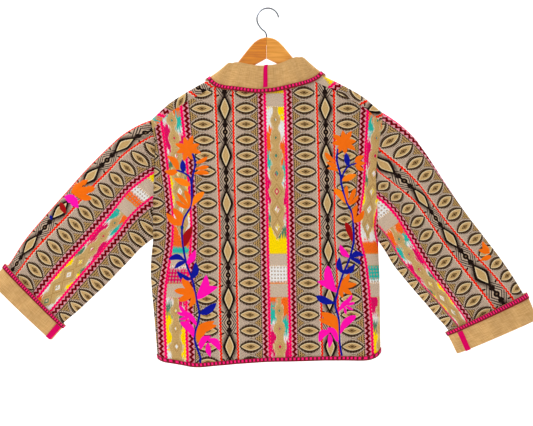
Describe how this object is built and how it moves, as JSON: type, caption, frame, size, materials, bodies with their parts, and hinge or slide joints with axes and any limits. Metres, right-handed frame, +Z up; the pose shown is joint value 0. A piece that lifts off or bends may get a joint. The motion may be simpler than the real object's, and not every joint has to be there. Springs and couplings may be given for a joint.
{
  "type": "jacquard jacket on a wooden coat hanger",
  "caption": "Short boxy jacquard jacket with a shawl collar and turned-up cuffs, hung flat on a contoured wooden hanger with a wire hook.",
  "frame": {"origin": "inside top of the hanger's hook, where the rod or peg that holds it touches the wire", "axes": "+Z up, +X the wearer's right, the longest extent from cuff to cuff, +Y out of the jacket's front, the thin way through the flat-hung cloth; the back faces -Y"},
  "size_m": [1.2563, 0.0788, 0.825],
  "materials": {
    "jacquard": "matte",
    "plain_cloth": "matte",
    "braid": "matte",
    "tape": "matte",
    "hanger_wood": "satin",
    "hook_wire": "polished"
  },
  "bodies": {
    "root": {"back_panel": "jacquard", "front_left": "jacquard", "front_right": "jacquard", "sleeve_left_front": "jacquard", "sleeve_left_back": "jacquard", "sleeve_right_front": "jacquard", "sleeve_right_back": "jacquard", "cuff_left": "plain_cloth", "cuff_right": "plain_cloth", "collar": "plain_cloth", "collar_tape": "tape", "cuff_tape_left": "tape", "cuff_tape_right": "tape", "collar_braid": "braid", "cuff_braid_left": "braid", "cuff_braid_right": "braid", "front_braid_left": "braid", "front_braid_right": "braid", "hem_braid_back": "braid", "hem_braid_front_left": "braid", "hem_braid_front_right": "braid", "hanger_hook": "hook_wire", "hanger_arm_left": "hanger_wood", "hanger_arm_right": "hanger_wood"}
  },
  "joints": []
}
